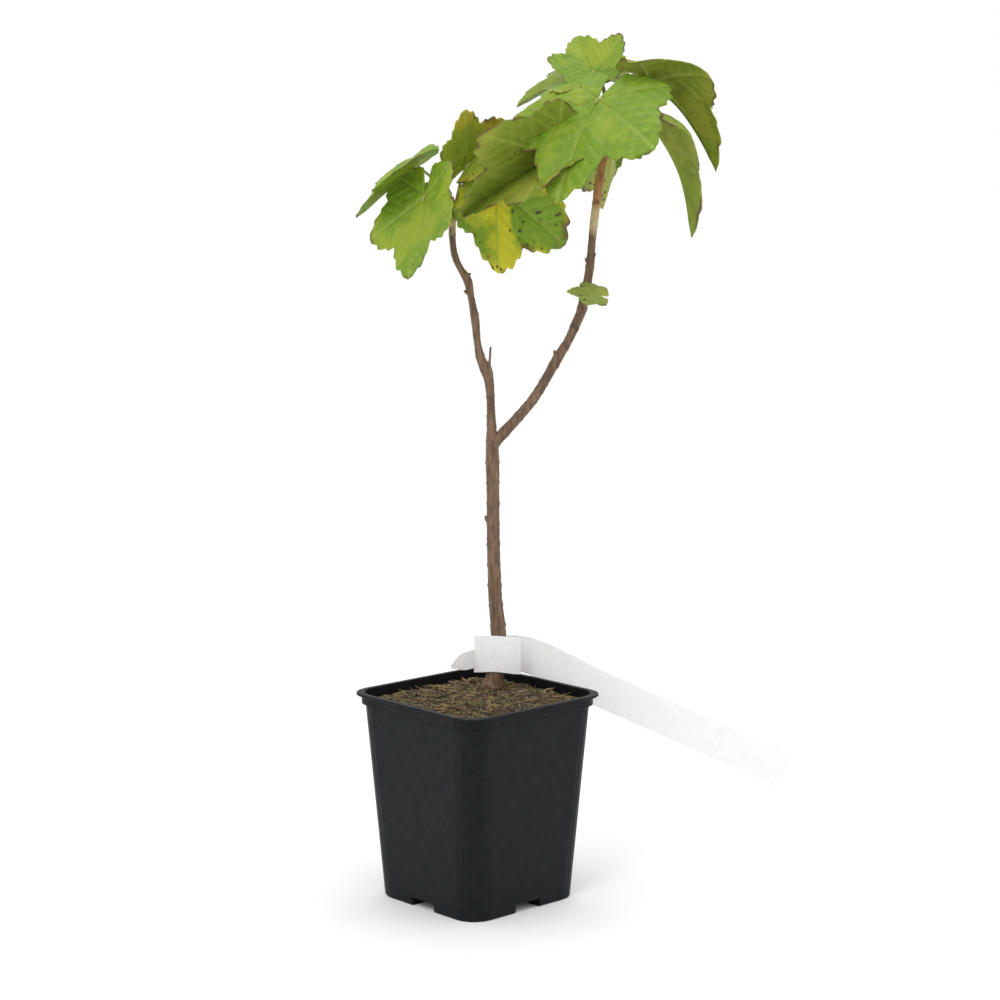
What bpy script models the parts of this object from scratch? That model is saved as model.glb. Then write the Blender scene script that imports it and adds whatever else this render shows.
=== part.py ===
"""A young blackcurrant bush standing in a square nursery pot, with a looped plant label.

Metres and degrees, +Z up. Everything is laid out round the pot's axis with the floor at z = 0,
and one empty carries it all, so that the finished plant stands centred on the origin.
"""
import math
from collections import namedtuple

import bmesh
import bpy
from mathutils import Matrix, Vector, noise

GAP = 0.0003

# Pot, a rounded square turned about its axis; halves are half widths
POT_HEIGHT = 0.102
POT_TURN = 43
RIM_HALF, RIM_RADIUS, LIP_THICK = 0.0455, 0.012, 0.0014
COLLAR_HALF, COLLAR_DEPTH = 0.0437, 0.0048
BODY_HALF, BODY_RADIUS = 0.0420, 0.0115
BASE_HALF, BASE_RADIUS = 0.0358, 0.0120
WALL, FLOOR_THICK = 0.0013, 0.0022
FOOT_HEIGHT, CROSS_HALF = 0.0042, 0.0080
DRAIN_RADIUS, DRAIN_OUT = 0.0045, 0.0200
CORNER_STEPS = 5

# Compost, heaped a little round the trunk
COMPOST_EDGE, COMPOST_BUMP = 0.0970, 0.0010
COMPOST_RINGS = (0.93, 0.80, 0.64, 0.46, 0.28)

# Limbs: a joint is where two limbs meet, as a place and the direction that the wood runs there
Joint = namedtuple("Joint", "place direction")
FOOT = Joint((0.0066, 0.0150, 0.0998), (0, 0, 1))
FORK = Joint((0.0070, 0.0150, 0.2300), (-0.05, 0, 1))
CROTCH = Joint((0.0136, 0.0150, 0.2284), (0.72, 0, 0.69))
LEFT_BEND = Joint((0.0056, 0.0150, 0.2540), (-0.20, 0, 1))
RIGHT_BEND = Joint((0.0478, 0.0157, 0.2805), (0.44, 0.02, 0.90))
LEFT_TIP = Joint((-0.0119, 0.0150, 0.3268), (0.02, 0, 1))
RIGHT_TIP = Joint((0.0606, 0.0172, 0.3592), (0.15, 0, 0.99))
BUD_NODE = Joint((0.0521, 0.0124, 0.2900), (0.10, -0.80, 0.60))
TRUNK = (((0.0084, 0.0150, 0.1060), 0.0045), ((0.0102, 0.0150, 0.1150), 0.0041),
         ((0.0103, 0.0150, 0.1290), 0.0038), ((0.0088, 0.0150, 0.1460), 0.0034),
         ((0.0079, 0.0150, 0.1700), 0.0032), ((0.0077, 0.0150, 0.1950), 0.0031),
         ((0.0074, 0.0150, 0.2150), 0.0033), ((0.0072, 0.0150, 0.2230), 0.0029))
LEFT_LOWER = (((0.0067, 0.0150, 0.2370), 0.0021), ((0.0065, 0.0150, 0.2450), 0.0020))
LEFT_UPPER = (((0.0042, 0.0150, 0.2588), 0.0029), ((0.0016, 0.0150, 0.2645), 0.0022),
              ((0.0000, 0.0151, 0.2730), 0.0017), ((-0.0010, 0.0152, 0.2832), 0.0021),
              ((-0.0028, 0.0152, 0.2930), 0.0016), ((-0.0045, 0.0152, 0.3016), 0.0021),
              ((-0.0080, 0.0152, 0.3074), 0.0016), ((-0.0105, 0.0151, 0.3130), 0.0016),
              ((-0.0117, 0.0150, 0.3200), 0.0016))
RIGHT_LOWER = (((0.0192, 0.0150, 0.2345), 0.0025), ((0.0272, 0.0150, 0.2440), 0.0024),
               ((0.0333, 0.0151, 0.2538), 0.0023), ((0.0388, 0.0152, 0.2636), 0.0025),
               ((0.0444, 0.0155, 0.2730), 0.0021))
RIGHT_UPPER = (((0.0508, 0.0160, 0.2880), 0.0024), ((0.0532, 0.0162, 0.3000), 0.0021),
               ((0.0546, 0.0164, 0.3090), 0.0021), ((0.0554, 0.0166, 0.3190), 0.0018),
               ((0.0566, 0.0168, 0.3310), 0.0020), ((0.0588, 0.0170, 0.3480), 0.0021))
SNAG = (((0.0056, 0.0150, 0.2570), 0.0010), ((0.0062, 0.0150, 0.2640), 0.0006),
        ((0.0065, 0.0150, 0.2695), 0.0005))
RING_SPACING = 0.0055

# Buds: place on the limb's skin, direction, length, half width
TRUNK_BUDS = (((0.0048, 0.0146, 0.1850), (-0.5, -0.1, 1), 0.0042, 0.0012),)
LEFT_BUDS = (((-0.0022, 0.0144, 0.2915), (0.9, -0.2, 1), 0.0036, 0.0011),
             ((-0.0048, 0.0150, 0.2960), (-1, -0.1, 0.5), 0.0034, 0.0011),
             ((-0.0044, 0.0150, 0.3040), (0.9, -0.1, 0.8), 0.0036, 0.0010))
RIGHT_LOWER_BUDS = (((0.0382, 0.0150, 0.2660), (-0.5, -0.2, 1), 0.0042, 0.0012),)
RIGHT_UPPER_BUDS = (((0.0562, 0.0160, 0.3135), (0.9, -0.1, 1), 0.0032, 0.0010),
                    ((0.0532, 0.0163, 0.3110), (-0.8, -0.1, 1), 0.0032, 0.0010))

# Blade: five lobes; angles from the midrib, and reach in shares of the midrib's length
LOBE_ANGLES = (-118, -58, 0, 58, 118)
LOBE_REACH = (0.62, 0.88, 1.0, 0.88, 0.62)
SINUS_ANGLES = (-88, -30, 30, 88)
SINUS_REACH = (0.50, 0.56, 0.56, 0.50)
END_ANGLE, END_REACH = 168, 0.34
EDGE_BULGE, TOOTH = 0.06, 0.03
EDGE_STEPS = 3
BLADE_RINGS = (0.34, 0.68, 1.0)
BLADE_THICK = 0.0007
PETIOLE_RADIUS = 0.0008

# A leaf: where its petiole leaves the stem, where the blade begins, the way its midrib heads,
# climbs and rolls, its length, how far its halves fold up, and how far each of its five ribs
# starts above the blade's plane (lifts) and bends down along its length (curls)
Leaf = namedtuple("Leaf", "name root at heading pitch roll length fold lifts curls")


def even(value):
    return (value,) * 5


LEFT_STEM = (((-0.0118, 0.0150, 0.3310), 0.0017), ((-0.0117, 0.0150, 0.3345), 0.0012),
             ((-0.0115, 0.0150, 0.3385), 0.0012), ((-0.0116, 0.0150, 0.3420), 0.0004))
LEFT_LEAVES = (
    Leaf("L1", (-0.0110, 0.0155, 0.3330), (-0.0050, 0.0180, 0.3560), 36, 45, 50, 0.032, 55, even(0), even(0)),
    Leaf("L2", (-0.0125, 0.0150, 0.3340), (-0.0285, 0.0080, 0.3560), 178, -34, -4, 0.038, 15, even(0), even(10)),
    Leaf("L3", (-0.0125, 0.0140, 0.3300), (-0.0245, -0.0080, 0.3430), -116, -70, 26, 0.042, 7, even(0), even(-5)),
    Leaf("L8", (-0.0100, 0.0155, 0.3305), (0.0092, 0.0240, 0.3465), 27, -37, 92, 0.048, 15, even(0), even(0)),
    Leaf("LB", (-0.0120, 0.0165, 0.3320), (-0.0310, 0.0350, 0.3410), 135, -62, 0, 0.024, 5, even(0), even(20)),
)
RIGHT_STEM = (((0.0620, 0.0174, 0.3680), 0.0019), ((0.0634, 0.0176, 0.3790), 0.0014),
              ((0.0638, 0.0177, 0.3840), 0.0005))
RIGHT_LEAVES = (
    Leaf("C1", (0.0636, 0.0176, 0.3810), (0.0566, 0.0200, 0.4000), 114, 39, -24, 0.027, 18, even(0), even(-8)),
    Leaf("C2", (0.0636, 0.0178, 0.3790), (0.0590, 0.0300, 0.3985), 179, -2, -12, 0.043, 18, even(0), even(35)),
    Leaf("C3", (0.0615, 0.0165, 0.3660), (0.0572, -0.0100, 0.3878), -127, -43, -5, 0.058, 9,
         even(0), (50, 26, 26, 26, 50)),
    Leaf("C4", (0.0638, 0.0172, 0.3780), (0.0820, 0.0050, 0.3965), -5, -34, -4, 0.054, 48,
         (-10, 0, 0, 0, -10), (70, 38, 38, 38, 70)),
    Leaf("C5", (0.0620, 0.0170, 0.3700), (0.0795, -0.0050, 0.3803), -4, -46, 0, 0.063, 38,
         (-30, 0, 0, 0, -30), (70, 50, 45, 50, 70)),
    Leaf("CB", (0.0636, 0.0185, 0.3760), (0.0600, 0.0450, 0.3780), 85, -60, 0, 0.034, 5, even(0), even(20)),
    Leaf("C7", (0.0606, 0.0165, 0.3625), (0.0375, -0.0010, 0.3625), 180, -33, -75, 0.054, 62, even(0), even(5)),
    Leaf("C9", (0.0614, 0.0185, 0.3625), (0.0650, 0.0350, 0.3610), 108, -76, -42, 0.027, 15, even(0), even(-8)),
    Leaf("UB", (0.0612, 0.0187, 0.3640), (0.0420, 0.0520, 0.3660), 110, -52, 0, 0.031, 5, even(0), even(20)),
)
BUD_STEM = (((0.0523, 0.0107, 0.2912), 0.0011), ((0.0525, 0.0097, 0.2922), 0.0010))
BUD_LEAVES = (
    Leaf("B1", (0.0525, 0.0100, 0.2920), (0.0578, 0.0010, 0.2955), 182, 13, -26, 0.015, 5, even(0), even(15)),
)

# Plant label: a band that loops round the trunk, hangs over the pot's rim and ends free
LABEL_WIDTH, LABEL_THICK = 0.0180, 0.0005
LABEL_PATH = ((0.1560, 0.0460, 0.0505), (0.1200, 0.0450, 0.0672), (0.0900, 0.0440, 0.0810),
              (0.0620, 0.0425, 0.0940), (0.0420, 0.0405, 0.1044), (0.0290, 0.0378, 0.1110),
              (0.0190, 0.0345, 0.1142), (0.0080, 0.0318, 0.1140), (0.0000, 0.0270, 0.1150),
              (-0.0012, 0.0190, 0.1170), (0.0030, 0.0115, 0.1186), (0.0105, 0.0100, 0.1188),
              (0.0185, 0.0120, 0.1175), (0.0210, 0.0190, 0.1160), (0.0175, 0.0265, 0.1150))
TAIL_PATH = ((0.0120, 0.0290, 0.1150), (0.0040, 0.0250, 0.1145), (-0.0060, 0.0205, 0.1130),
             (-0.0130, 0.0180, 0.1105))
TAIL_WIDTHS = (0.0100, 0.0100, 0.0090, 0.0020)


def clear_scene():
    for obj in list(bpy.data.objects):
        bpy.data.objects.remove(obj, do_unlink=True)


def material(name, colour, roughness, metallic=0.0):
    made = bpy.data.materials.new(name)
    made.use_nodes = True
    shader = made.node_tree.nodes["Principled BSDF"]
    shader.inputs["Base Color"].default_value = (*colour, 1)
    shader.inputs["Roughness"].default_value = roughness
    shader.inputs["Metallic"].default_value = metallic
    return made


def collection(name):
    made = bpy.data.collections.new(name)
    bpy.context.scene.collection.children.link(made)
    return made


def mesh_object(name, points, faces, home):
    mesh = bpy.data.meshes.new(name)
    mesh.from_pydata([tuple(p) for p in points], [], faces)
    mesh.update()
    made = bpy.data.objects.new(name, mesh)
    home.objects.link(made)
    return made


def baked(obj, name, home):
    """The object's evaluated mesh as a new object with welded points; the first one is removed."""
    bpy.context.view_layer.update()
    graph = bpy.context.evaluated_depsgraph_get()
    mesh = bpy.data.meshes.new_from_object(obj.evaluated_get(graph))
    work = bmesh.new()
    work.from_mesh(mesh)
    bmesh.ops.remove_doubles(work, verts=work.verts, dist=1e-6)
    bmesh.ops.recalc_face_normals(work, faces=work.faces)
    work.to_mesh(mesh)
    work.free()
    made = bpy.data.objects.new(name, mesh)
    made.matrix_world = obj.matrix_world.copy()
    home.objects.link(made)
    bpy.data.objects.remove(obj, do_unlink=True)
    made.name = name
    return made


def rounded_square(half, radius, z, turn=POT_TURN):
    """Points round a square with round corners, centred on the axis at height z."""
    spin = Matrix.Rotation(math.radians(turn), 4, "Z")
    found = []
    for corner in range(4):
        middle = Vector((half - radius, half - radius, 0))
        for step in range(CORNER_STEPS + 1):
            angle = math.radians(90 * step / CORNER_STEPS)
            arc = middle + Vector((math.cos(angle), math.sin(angle), 0)) * radius
            point = spin @ Matrix.Rotation(math.radians(90 * corner), 4, "Z") @ arc
            found.append(Vector((point.x, point.y, z)))
    return found


def loft(name, rings, home, end=None):
    """A closed solid through rings of equal count, capped below and, at the top, by the point end."""
    count = len(rings[0])
    points = [p for ring in rings for p in ring]
    faces = [tuple(reversed(range(count)))]
    for k in range(len(rings) - 1):
        for i in range(count):
            j = (i + 1) % count
            faces.append((k * count + i, k * count + j, (k + 1) * count + j, (k + 1) * count + i))
    last = (len(rings) - 1) * count
    if end is None:
        faces.append(tuple(range(last, last + count)))
    else:
        points.append(Vector(end))
        for i in range(count):
            faces.append((last + i, last + (i + 1) % count, len(points) - 1))
    return mesh_object(name, points, faces, home)


def wall_half(z, inset):
    """Half width of the pot's wall at height z, inset from its outer face."""
    foot, top = 0.0, POT_HEIGHT - LIP_THICK - COLLAR_DEPTH
    share = min(max((z - foot) / (top - foot), 0), 1)
    return BASE_HALF + (BODY_HALF - BASE_HALF) * share - inset


def wall_radius(z, inset):
    share = min(z / POT_HEIGHT, 1)
    return BASE_RADIUS + (BODY_RADIUS - BASE_RADIUS) * share - inset


def make_pot(home, cutters):
    lip_under = POT_HEIGHT - LIP_THICK
    collar_under = lip_under - COLLAR_DEPTH
    floor_top = FOOT_HEIGHT + FLOOR_THICK
    edge = 0.0004
    profile = [
        (BASE_HALF - edge, BASE_RADIUS - edge, 0.0),
        (wall_half(edge * 2, 0), wall_radius(edge * 2, 0), edge * 2),
        (BODY_HALF, BODY_RADIUS, collar_under),
        (COLLAR_HALF, BODY_RADIUS + 0.001, collar_under + 0.0008),
        (COLLAR_HALF, BODY_RADIUS + 0.001, lip_under),
        (RIM_HALF - edge, RIM_RADIUS, lip_under),
        (RIM_HALF, RIM_RADIUS, lip_under + edge),
        (RIM_HALF - edge / 2, RIM_RADIUS, POT_HEIGHT - edge / 2),
        (RIM_HALF - edge * 2, RIM_RADIUS - edge, POT_HEIGHT),
        (COLLAR_HALF - WALL, BODY_RADIUS, POT_HEIGHT),
        (COLLAR_HALF - WALL, BODY_RADIUS, collar_under),
        (wall_half(collar_under - 0.001, WALL), wall_radius(collar_under, WALL), collar_under - 0.001),
        (wall_half(floor_top, WALL), wall_radius(floor_top, WALL), floor_top),
    ]
    pot = loft("pot", [rounded_square(*section) for section in profile], home)
    for angle in (0, 90):
        bpy.ops.mesh.primitive_cube_add(size=1)
        bar = bpy.context.object
        bar.name = f"cross_cut_{angle}"
        bar.scale = (RIM_HALF * 4, CROSS_HALF * 2, FOOT_HEIGHT * 2)
        bar.rotation_euler = (0, 0, math.radians(POT_TURN + angle))
        into_cutters(bar, cutters)
    for number, (x, y) in enumerate(((0, 0), (1, 0), (0, 1), (-1, 0), (0, -1))):
        spin = Matrix.Rotation(math.radians(POT_TURN), 4, "Z")
        place = spin @ Vector((x * DRAIN_OUT, y * DRAIN_OUT, floor_top))
        bpy.ops.mesh.primitive_cylinder_add(vertices=16, radius=DRAIN_RADIUS, depth=0.02, location=place)
        drain = bpy.context.object
        drain.name = f"drain_cut_{number}"
        into_cutters(drain, cutters)
    for cutter in list(cutters.objects):
        cut = pot.modifiers.new(cutter.name, "BOOLEAN")
        cut.operation = "DIFFERENCE"
        cut.object = cutter
    return pot


def into_cutters(obj, cutters):
    for home in list(obj.users_collection):
        home.objects.unlink(obj)
    cutters.objects.link(obj)
    obj.hide_render = True
    obj.display_type = "WIRE"


def compost_height(point, share):
    """Height of the compost at a point, where share runs from 0 at the trunk to 1 at the wall."""
    rough = noise.noise(Vector((point.x, point.y, 0)) * 160) + 0.6 * noise.noise(Vector((point.y, point.x, 3)) * 330)
    level = COMPOST_EDGE + (FOOT.place[2] - GAP - COMPOST_EDGE) * (1 - share ** 2)
    return level + COMPOST_BUMP * rough * min(1, 1.6 * share) * min(1, 6 * (1 - share) + 0.3)


def make_compost(home):
    bottom = FOOT_HEIGHT + FLOOR_THICK + GAP
    inset = WALL + GAP
    rings = [rounded_square(wall_half(z, inset), wall_radius(z, inset), z) for z in (bottom, 0.0945)]
    edge = rounded_square(wall_half(0.094, inset), wall_radius(0.094, inset), COMPOST_EDGE)
    middle = Vector((FOOT.place[0], FOOT.place[1], 0))
    for share in (1.0, *COMPOST_RINGS):
        ring = []
        for point in edge:
            flat = Vector((point.x, point.y, 0))
            place = middle + (flat - middle) * share
            ring.append(Vector((place.x, place.y, compost_height(place, share))))
        rings.append(ring)
    top = FOOT.place[2] - GAP
    rings.append([Vector((middle.x + 0.0075 * (p.x - middle.x) / (p - middle).length,
                          middle.y + 0.0075 * (p.y - middle.y) / (p - middle).length, top))
                  for p in (Vector((q.x, q.y, 0)) for q in edge)])
    return loft("compost", rings, home, (middle.x, middle.y, top))


def smooth_path(points, spacing):
    """Places and radii along a smooth curve through the points, about spacing apart."""
    points = [(Vector(place), radius) for place, radius in points]
    padded = [points[0], *points, points[-1]]
    found = []
    for (p0, r0), (p1, r1), (p2, r2), (p3, r3) in zip(padded, padded[1:], padded[2:], padded[3:]):
        steps = max(1, round((p2 - p1).length / spacing))
        for step in range(steps):
            t = step / steps
            place = 0.5 * (2 * p1 + (p2 - p0) * t + (2 * p0 - 5 * p1 + 4 * p2 - p3) * t ** 2
                           + (3 * p1 - p0 - 3 * p2 + p3) * t ** 3)
            ease = t * t * (3 - 2 * t)
            found.append((place, r1 + (r2 - r1) * ease))
    found.append(points[-1])
    return found


def tube(name, path, home, sides=10):
    """A tapering tube along places and radii, with flat caps."""
    curve = bpy.data.curves.new(name, "CURVE")
    curve.dimensions = "3D"
    curve.bevel_depth = 1.0
    curve.bevel_resolution = sides // 2 - 2
    curve.use_fill_caps = True
    spline = curve.splines.new("POLY")
    spline.points.add(len(path) - 1)
    for point, (place, radius) in zip(spline.points, path):
        point.co = (*place, 1)
        point.radius = radius
    made = bpy.data.objects.new(name + "_curve", curve)
    home.objects.link(made)
    return baked(made, name, home)


def limb_path(start, inner, end, start_radius, end_radius):
    """A limb from one joint to another, square to both and half a gap clear of each."""
    stub = 0.0014
    path = []
    if start is not None:
        way = Vector(start.direction).normalized()
        path += [(Vector(start.place) + way * GAP / 2, start_radius),
                 (Vector(start.place) + way * (GAP / 2 + stub), start_radius)]
    path += list(inner)
    if end is not None:
        way = Vector(end.direction).normalized()
        path += [(Vector(end.place) - way * (GAP / 2 + stub), end_radius),
                 (Vector(end.place) - way * GAP / 2, end_radius)]
    straight_start, straight_end = start is not None, end is not None
    first = path[:1] if straight_start else []
    last = path[-1:] if straight_end else []
    middle = path[1 if straight_start else 0:len(path) - 1 if straight_end else len(path)]
    return first + smooth_path(middle, RING_SPACING) + last


def bud(name, place, direction, length, half, home):
    """A pointed bud that sits on the skin with its foot inside the wood."""
    way = Vector(direction).normalized()
    start = Vector(place) - way * length * 0.45
    shares = ((0.0, 0.5), (0.25, 0.9), (0.5, 1.0), (0.75, 0.7), (1.0, 0.15))
    path = [(start + way * length * along, half * wide) for along, wide in shares]
    return tube(name, path, home, sides=6)


def fused(name, pieces, home, solver="EXACT"):
    """One solid from the pieces, by a Boolean union on a collection of the others."""
    base, others = pieces[0], pieces[1:]
    if not others:
        base.name = name
        return base
    group = collection(name + "_pieces")
    for piece in others:
        for old in list(piece.users_collection):
            old.objects.unlink(piece)
        group.objects.link(piece)
    join = base.modifiers.new("join", "BOOLEAN")
    join.operation = "UNION"
    join.operand_type = "COLLECTION"
    join.collection = group
    join.solver = solver
    made = baked(base, name, home)
    for piece in list(group.objects):
        bpy.data.objects.remove(piece, do_unlink=True)
    bpy.data.collections.remove(group)
    return made


def without_scraps(obj):
    """Keeps the object's largest connected piece."""
    work = bmesh.new()
    work.from_mesh(obj.data)
    left, islands = set(work.verts), []
    while left:
        edge = [left.pop()]
        island = set(edge)
        while edge:
            for link in edge.pop().link_edges:
                for vert in link.verts:
                    if vert in left:
                        left.remove(vert)
                        island.add(vert)
                        edge.append(vert)
        islands.append(island)
    islands.sort(key=len)
    for island in islands[:-1]:
        bmesh.ops.delete(work, geom=list(island), context="VERTS")
    work.to_mesh(obj.data)
    work.free()
    return obj


def make_trunk(home):
    path = limb_path(None, TRUNK, FORK, 0, 0.0024)
    foot = Vector(FOOT.place)
    path = [(foot, 0.0052), (foot + Vector((0, 0, 0.0012)), 0.0050), *path]
    pieces = [tube("trunk_stem", path, home, sides=12)]
    way = Vector(CROTCH.direction).normalized()
    crotch = Vector(CROTCH.place)
    collar = [(Vector((0.0074, 0.0150, 0.2175)), 0.0020), (Vector((0.0086, 0.0150, 0.2225)), 0.0027),
              (crotch - way * 0.0020, 0.0028), (crotch - way * GAP / 2, 0.0027)]
    pieces.append(tube("trunk_collar", collar, home, sides=12))
    for number, values in enumerate(TRUNK_BUDS):
        pieces.append(bud(f"trunk_bud_{number}", *values, home))
    return fused("trunk", pieces, home)


def make_bough(name, start, inner, end, radii, buds, home, extra=()):
    pieces = [tube(name + "_stem", limb_path(start, inner, end, *radii), home)]
    for number, values in enumerate(buds):
        pieces.append(bud(f"{name}_bud_{number}", *values, home))
    for number, path in enumerate(extra):
        pieces.append(tube(f"{name}_snag_{number}", smooth_path(path, RING_SPACING), home, sides=6))
    return fused(name, pieces, home)


def straight_reach(angle0, reach0, angle1, reach1, angle):
    """Reach, at an angle, of the straight line between two outline corners."""
    over = reach0 * math.sin(angle - angle0) + reach1 * math.sin(angle1 - angle)
    return reach0 * reach1 * math.sin(angle1 - angle0) / over


def blade_outline():
    """(angle, reach) round the blade's margin, from one side of the stalk notch to the other."""
    corners = [(-END_ANGLE, END_REACH)]
    for i in range(5):
        corners.append((LOBE_ANGLES[i], LOBE_REACH[i]))
        if i < 4:
            corners.append((SINUS_ANGLES[i], SINUS_REACH[i]))
    corners.append((END_ANGLE, END_REACH))
    found = []
    for k in range(len(corners) - 1):
        angle0, angle1 = math.radians(corners[k][0]), math.radians(corners[k + 1][0])
        last = k == len(corners) - 2
        for j in range(EDGE_STEPS + last):
            t = j / EDGE_STEPS
            angle = angle0 + (angle1 - angle0) * t
            reach = straight_reach(angle0, corners[k][1], angle1, corners[k + 1][1], angle)
            reach *= 1 + EDGE_BULGE * math.sin(math.pi * t)
            if 0 < j < EDGE_STEPS:
                reach *= 1 + TOOTH * (1 if j % 2 == 0 else -1)
            found.append((angle, reach))
    return found


def at_angle(values, angle):
    """One rib value, eased between the five ribs."""
    angle = math.degrees(angle)
    if angle <= LOBE_ANGLES[0]:
        return values[0]
    for i in range(4):
        if angle <= LOBE_ANGLES[i + 1]:
            t = (angle - LOBE_ANGLES[i]) / (LOBE_ANGLES[i + 1] - LOBE_ANGLES[i])
            t = t * t * (3 - 2 * t)
            return values[i] * (1 - t) + values[i + 1] * t
    return values[4]


def blade_point(leaf, angle, distance):
    """A point of the blade in its own frame: along the midrib, to its left, above it."""
    rise = math.radians(at_angle(leaf.lifts, angle))
    fall = rise - math.radians(at_angle(leaf.curls, angle)) * distance / leaf.length
    if abs(rise - fall) < 1e-5:
        out, up = distance * math.cos(rise), distance * math.sin(rise)
    else:
        out = distance * (math.sin(rise) - math.sin(fall)) / (rise - fall)
        up = distance * (math.cos(fall) - math.cos(rise)) / (rise - fall)
    fold = math.radians(leaf.fold)
    side = out * math.sin(angle)
    return Vector((out * math.cos(angle), side * math.cos(fold), up + abs(side) * math.sin(fold)))


def blade_frame(leaf):
    """Turns blade points into the plant's frame."""
    heading, pitch, roll = (math.radians(v) for v in (leaf.heading, leaf.pitch, leaf.roll))
    along = Vector((math.cos(pitch) * math.cos(heading), math.cos(pitch) * math.sin(heading), math.sin(pitch)))
    left = Vector((-math.sin(heading), math.cos(heading), 0))
    up = along.cross(left)
    left, up = left * math.cos(roll) + up * math.sin(roll), up * math.cos(roll) - left * math.sin(roll)
    turn = Matrix((along, left, up)).transposed().to_4x4()
    return Matrix.Translation(Vector(leaf.at)) @ turn


def blade_surface(leaf):
    """Points and faces of the blade as one open sheet that fans out from its stalk."""
    margin = blade_outline()
    frame = blade_frame(leaf)
    points = [frame @ Vector((0, 0, 0))]
    for angle, reach in margin:
        for share in BLADE_RINGS:
            points.append(frame @ blade_point(leaf, angle, share * reach * leaf.length))
    rings = len(BLADE_RINGS)
    faces = []
    for i in range(len(margin) - 1):
        a, b = 1 + i * rings, 1 + (i + 1) * rings
        faces.append((0, a, b))
        for j in range(rings - 1):
            faces.append((a + j, a + j + 1, b + j + 1, b + j))
    return points, faces


def make_leaf(leaf, home):
    """The blade with its thickness, and its petiole."""
    points, faces = blade_surface(leaf)
    blade = mesh_object("blade_" + leaf.name, points, faces, home)
    shell = blade.modifiers.new("thickness", "SOLIDIFY")
    shell.thickness = BLADE_THICK
    shell.offset = 0
    blade = baked(blade, blade.name, home)
    return [blade, tube("petiole_" + leaf.name, petiole_path(leaf), home, sides=6)]


def petiole_path(leaf):
    """From the stem out to the blade and a little way under its midrib."""
    root, at = Vector(leaf.root), Vector(leaf.at)
    frame = blade_frame(leaf).to_3x3()
    into = at + frame @ Vector((0.0034, 0, 0))
    bow = (at - root).length * 0.16
    middle = (root + at) / 2 + Vector((0, 0, 1)) * bow
    return smooth_path([(root, PETIOLE_RADIUS * 1.4), (middle, PETIOLE_RADIUS),
                        (at, PETIOLE_RADIUS), (into, PETIOLE_RADIUS * 0.7)], 0.006)


def make_mass(name, start, start_radius, stem, leaves, home, solver="EXACT"):
    path = limb_path(start, stem, None, start_radius, 0)
    pieces = [tube(name + "_stem", path, home, sides=8)]
    for leaf in leaves:
        pieces += make_leaf(leaf, home)
    return without_scraps(fused(name, pieces, home, solver))


def band(name, path, widths, home):
    """A flat band on its edge along the path."""
    places = [Vector(p) for p in path]
    dense = smooth_path(list(zip(places, widths)), 0.0045)
    points = []
    for i, (place, width) in enumerate(dense):
        before, after = dense[max(i - 1, 0)][0], dense[min(i + 1, len(dense) - 1)][0]
        along = (after - before).normalized()
        across = (Vector((0, 0, 1)) - along * along.z).normalized()
        points += [place - across * width / 2, place + across * width / 2]
    faces = [(2 * i, 2 * i + 2, 2 * i + 3, 2 * i + 1) for i in range(len(dense) - 1)]
    made = mesh_object(name + "_sheet", points, faces, home)
    shell = made.modifiers.new("thickness", "SOLIDIFY")
    shell.thickness = LABEL_THICK
    shell.offset = 0
    return baked(made, name, home)


def make_label(home):
    strip = band("label_strip", LABEL_PATH, [LABEL_WIDTH] * len(LABEL_PATH), home)
    tail = band("label_tail", TAIL_PATH, TAIL_WIDTHS, home)
    return fused("plant_label", [strip, tail], home)


def finish(obj, look, smooth, carrier):
    """Gives an object its material, shading and parent."""
    obj.data.materials.clear()
    obj.data.materials.append(look)
    if smooth:
        obj.data.shade_smooth()
        obj.data.set_sharp_from_angle(angle=math.radians(40))
    obj.parent = carrier


def centre(carrier, objects):
    """Moves the carrier so that the plant's box stands centred on the origin."""
    bpy.context.view_layer.update()
    graph = bpy.context.evaluated_depsgraph_get()
    corners = []
    for obj in objects:
        evaluated = obj.evaluated_get(graph)
        corners += [evaluated.matrix_world @ v.co for v in evaluated.data.vertices]
    for axis in (0, 1):
        values = [corner[axis] for corner in corners]
        carrier.location[axis] = -(min(values) + max(values)) / 2


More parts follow.
